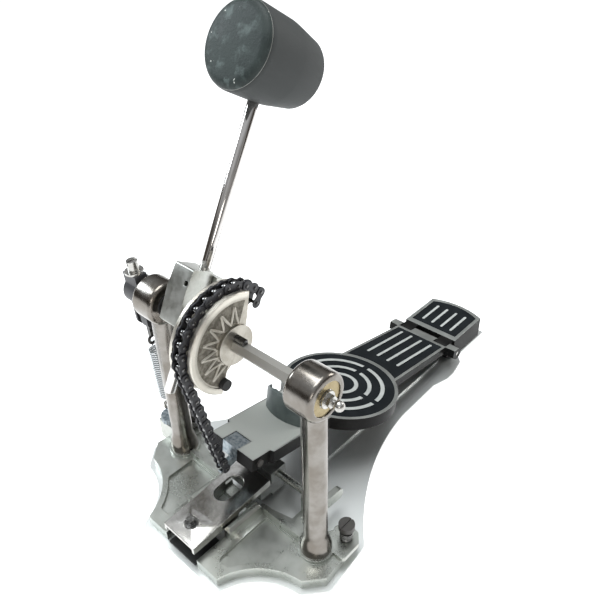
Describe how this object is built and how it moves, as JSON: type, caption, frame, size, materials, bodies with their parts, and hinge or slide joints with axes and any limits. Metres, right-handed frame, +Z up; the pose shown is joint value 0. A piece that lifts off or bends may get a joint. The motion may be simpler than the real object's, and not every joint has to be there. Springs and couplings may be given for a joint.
{
  "type": "bass drum pedal",
  "caption": "Chain-drive bass drum pedal: two upright posts carry a hexagonal axle with cam and beater, pulled by a hinged footboard on a waisted base plate.",
  "frame": {"origin": "on the underside of the base plate, straight below the middle of the axle", "axes": "+Z up, -Y towards the drum, +Y towards the heel of the pedal, +X towards the right-hand upright as the drummer sees it"},
  "size_m": [0.2058, 0.3875, 0.3522],
  "materials": {
    "satin_sheet": "satin zinc-plated pressed sheet",
    "cast_polished": "cast aluminium, tumbled and polished",
    "steel_screw": "bright steel",
    "bearing_steel": "ground bearing steel",
    "seal_brass": "dull brass-toned shield",
    "axle_steel": "nickelled hexagon bar",
    "cam_cast": "cast, shot-blasted, rim polished",
    "rubber_black": "matte rubber",
    "chain_black": "black oiled chain",
    "hub_aluminium": "brushed along the rod",
    "chrome": "polished chrome",
    "beater_black": "matte moulded",
    "beater_grey": "scuffed hard plastic",
    "seam_pale": "pale ring",
    "board_black": "black powder coat, satin",
    "deck_grey": "fine satin grey",
    "tread_black": "dark tread with pale raised lines",
    "stop_teal": "satin dark grey-green",
    "zinc": "zinc die casting",
    "heel_black": "matte moulded",
    "clamp_chrome": "bright chromed pressing, worn",
    "rocker_black": "black, glossy",
    "spring_zinc": "bright zinc-plated wire",
    "spur_black": "blackened steel"
  },
  "bodies": {
    "root": {"base_plate": "satin_sheet", "plate_screws": "steel_screw", "base_casting_right": "cast_polished", "base_casting_left": "cast_polished", "clamp_bridge": "cast_polished", "upright_right": "cast_polished", "upright_left": "cast_polished", "upright_screws": "steel_screw", "bearing_outer_rings": "bearing_steel", "bearing_balls": "bearing_steel", "bearing_seals": "seal_brass", "hinge_pin": "steel_screw", "heel_block": "heel_black", "heel_tread": "tread_black", "heel_screws": "steel_screw", "clamp_pin": "steel_screw", "lower_jaw_pad": "rubber_black", "spur_spring_right": "spur_black", "spur_spring_left": "spur_black"},
    "axle_body": {"axle": "axle_steel", "axle_nipple": "steel_screw", "bearing_inner_rings": "bearing_steel", "cam": "cam_cast", "cam_bumper": "rubber_black", "cam_key": "steel_screw", "cam_chain": "chain_black", "beater_hub": "hub_aluminium", "beater_clamp": "hub_aluminium", "rod_clamp_screw": "steel_screw", "rocker": "rocker_black", "rocker_screw": "steel_screw", "rocker_pin": "steel_screw"},
    "chain_a": {"chain_link_a": "chain_black"},
    "chain_b": {"chain_link_b": "chain_black"},
    "chain_c": {"chain_link_c": "chain_black"},
    "chain_low": {"chain_run": "chain_black"},
    "board": {"footboard": "board_black", "toe_deck": "deck_grey", "disc_tread": "tread_black", "panel_tread": "tread_black", "toe_stop": "stop_teal", "toe_stop_screws": "steel_screw", "chain_connector": "zinc", "connector_screw": "steel_screw"},
    "rod": {"beater_rod": "chrome"},
    "head": {"beater_body": "beater_black", "beater_seam": "seam_pale", "beater_cap": "beater_grey", "beater_screw": "steel_screw"},
    "hanger": {"spring_hanger": "steel_screw", "extension_spring": "spring_zinc"},
    "anchor": {"eyebolt": "steel_screw"},
    "nut": {"wheel_nut": "zinc"},
    "clamp": {"hoop_clamp_plate": "clamp_chrome", "clamp_bolt": "steel_screw", "clamp_jaw_pad": "rubber_black"},
    "wedge": {"clamp_wedge": "zinc"},
    "wing": {"wing_screw": "clamp_chrome"},
    "spur_r": {"spur_screw_right": "spur_black"},
    "spur_l": {"spur_screw_left": "spur_black"}
  },
  "joints": [
    {"name": "axle_turn", "type": "hinge", "parent": "root", "child": "axle_body", "pos_m": [0, 0, 0.1623], "axis": [1, 0, 0], "range_deg": [-8, 40], "stiffness_Nm_per_rad": 3, "deforming": ["extension_spring"]},
    {"name": "chain_bend_a", "type": "hinge", "parent": "axle_body", "child": "chain_a", "pos_m": [-0.00275, -0.03501, 0.17774], "axis": [1, 0, 0], "range_deg": [-4.02, 0.82]},
    {"name": "chain_bend_b", "type": "hinge", "parent": "chain_a", "child": "chain_b", "pos_m": [-0.00275, -0.03746, 0.17012], "axis": [1, 0, 0], "range_deg": [-12.02, 2.42]},
    {"name": "chain_bend_c", "type": "hinge", "parent": "chain_b", "child": "chain_c", "pos_m": [-0.00275, -0.03827, 0.16217], "axis": [1, 0, 0], "range_deg": [-12.02, 2.42]},
    {"name": "chain_bend_run", "type": "hinge", "parent": "chain_c", "child": "chain_low", "pos_m": [-0.00275, -0.0374, 0.15421], "axis": [1, 0, 0], "range_deg": [-17.22, 3.46]},
    {"name": "board_hinge", "type": "hinge", "parent": "root", "child": "board", "pos_m": [0, 0.25156, 0.0179], "axis": [1, 0, 0], "range_deg": [-1.18, 5.84]},
    {"name": "beater_height", "type": "slide", "parent": "axle_body", "child": "rod", "axis": [0, 0.4802, 0.8771], "range_m": [-0.03, 0.03]},
    {"name": "beater_swivel", "type": "hinge", "parent": "rod", "child": "head", "pos_m": [-0.0474, 0.09353, 0.3146], "axis": [0, 0.4802, 0.8771], "range_deg": [-180, 180]},
    {"name": "hanger_swing", "type": "hinge", "parent": "axle_body", "child": "hanger", "pos_m": [-0.097, 0.00124, 0.13633], "axis": [1, 0, 0], "range_deg": [-49.22, 9.86]},
    {"name": "nut_turn", "type": "hinge", "parent": "root", "child": "nut", "pos_m": [-0.097, 0.006, 0.0275], "axis": [0, 0, 1], "range_deg": [-725, 1085]},
    {"name": "anchor_lift", "type": "slide", "parent": "root", "child": "anchor", "axis": [0, 0, -1], "range_m": [-0.002, 0.003]},
    {"name": "wing_turn", "type": "hinge", "parent": "root", "child": "wing", "pos_m": [0.0576, 0.024, 0.0245], "axis": [1, 0, 0], "range_deg": [0, 1450]},
    {"name": "wedge_slide", "type": "slide", "parent": "root", "child": "wedge", "axis": [1, 0, 0], "range_m": [0, 0.005]},
    {"name": "clamp_rock", "type": "hinge", "parent": "root", "child": "clamp", "pos_m": [0, -0.029, 0.013], "axis": [1, 0, 0], "range_deg": [0, 4.02]},
    {"name": "spur_right_travel", "type": "slide", "parent": "root", "child": "spur_r", "axis": [0, 0, 1], "range_m": [-0.001, 0.004], "deforming": ["spur_spring_right"]},
    {"name": "spur_left_travel", "type": "slide", "parent": "root", "child": "spur_l", "axis": [0, 0, 1], "range_m": [-0.001, 0.004], "deforming": ["spur_spring_left"]}
  ],
  "couplings": [
    {"joint": "chain_bend_a", "follows": "axle_turn", "ratio": -0.1},
    {"joint": "chain_bend_b", "follows": "axle_turn", "ratio": -0.3},
    {"joint": "chain_bend_c", "follows": "axle_turn", "ratio": -0.3},
    {"joint": "chain_bend_run", "follows": "axle_turn", "ratio": -0.43},
    {"joint": "board_hinge", "follows": "axle_turn", "ratio": 0.1456},
    {"joint": "hanger_swing", "follows": "axle_turn", "ratio": -1.23},
    {"joint": "nut_turn", "follows": "anchor_lift", "rad_per_m": 6283.2},
    {"joint": "wing_turn", "follows": "wedge_slide", "rad_per_m": 5026.5},
    {"joint": "clamp_rock", "follows": "wedge_slide", "rad_per_m": 13.963}
  ]
}
